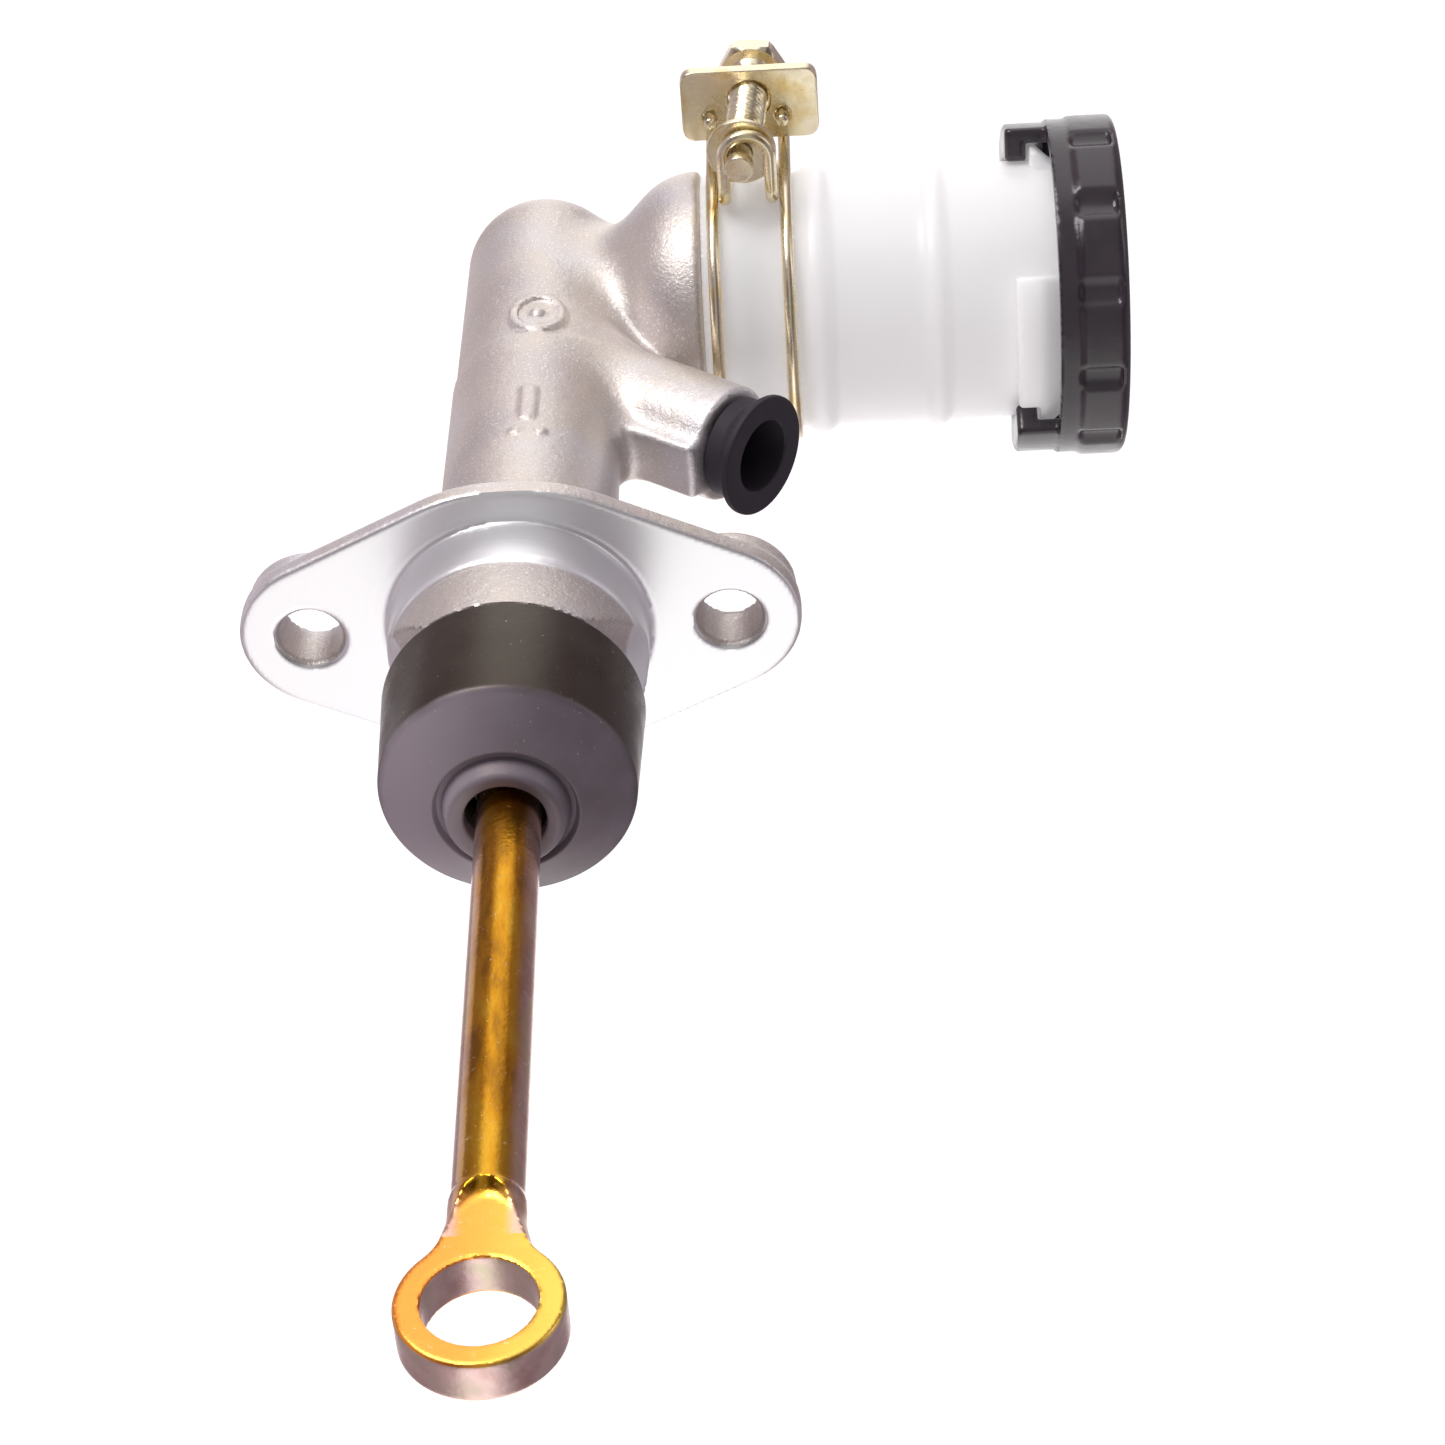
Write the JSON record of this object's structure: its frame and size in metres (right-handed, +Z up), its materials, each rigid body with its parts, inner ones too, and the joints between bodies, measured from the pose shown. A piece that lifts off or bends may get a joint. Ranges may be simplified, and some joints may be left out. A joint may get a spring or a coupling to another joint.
{
  "type": "brake master cylinder",
  "caption": "Hydraulic master cylinder: cast body with a two-stud flange, pushrod with an eye, dust boot, angled outlet and an upright reservoir held by a wire clamp under a bayonet cap.",
  "frame": {"origin": "middle of the flange's mounting face, on the bore axis", "axes": "+Y along the bore into the body, +Z up along the reservoir, pushrod towards -Y"},
  "size_m": [0.0596, 0.2449, 0.1258],
  "materials": {
    "cast_aluminium": "cast, satin",
    "bright_aluminium": "machined",
    "yellow_zinc_steel": "yellow zinc plated",
    "clamp_steel": "pale yellow zinc plated",
    "plain_steel": "plain, bright",
    "black_rubber": "satin black",
    "plug_rubber": "matte black",
    "reservoir_plastic": "milky, translucent",
    "cap_plastic": "satin black"
  },
  "bodies": {
    "housing": {"cylinder_body": "cast_aluminium", "reservoir": "reservoir_plastic", "reservoir_seal": "black_rubber", "clamp_wire": "clamp_steel", "clamp_plate": "clamp_steel", "clamp_screw": "clamp_steel", "clamp_washer": "clamp_steel", "dust_boot": "black_rubber", "circlip": "plain_steel", "stop_washer": "plain_steel", "valve_wave_washer": "plain_steel", "valve_spacer": "plain_steel", "return_spring": "plain_steel"},
    "plunger_group": {"plunger": "bright_aluminium", "plunger_front_seal": "black_rubber", "plunger_rear_seal": "black_rubber", "spring_thimble": "plain_steel"},
    "pushrod_group": {"pushrod": "yellow_zinc_steel"},
    "valve_group": {"valve_stem": "plain_steel", "valve_seal": "black_rubber"},
    "cap_group": {"reservoir_cap": "cap_plastic", "cap_gasket": "black_rubber"},
    "plug_group": {"outlet_plug": "plug_rubber"}
  },
  "joints": [
    {"name": "plunger_slide", "type": "slide", "parent": "housing", "child": "plunger_group", "axis": [0, 1, 0], "range_m": [0, 0.028], "stiffness_N_per_m": 1300, "springref_m": -0.012, "deforming": ["return_spring"]},
    {"name": "pushrod_tilt", "type": "hinge", "parent": "plunger_group", "child": "pushrod_group", "pos_m": [0, -0.01, 0], "axis": [1, 0, 0], "range_deg": [-0.2, 1.8]},
    {"name": "valve_lift", "type": "slide", "parent": "housing", "child": "valve_group", "axis": [0, 1, 0], "range_m": [0, 0.0008]},
    {"name": "cap_turn", "type": "hinge", "parent": "housing", "child": "cap_group", "pos_m": [0, 0.0836, 0.079], "axis": [0, 0, 1], "range_deg": [0, 60]},
    {"name": "plug_pull", "type": "slide", "parent": "housing", "child": "plug_group", "axis": [0, -0.6, 0.8], "range_m": [0, 0.014]}
  ],
  "couplings": [
    {"joint": "valve_lift", "follows": "plunger_slide", "ratio": 0.028571}
  ]
}
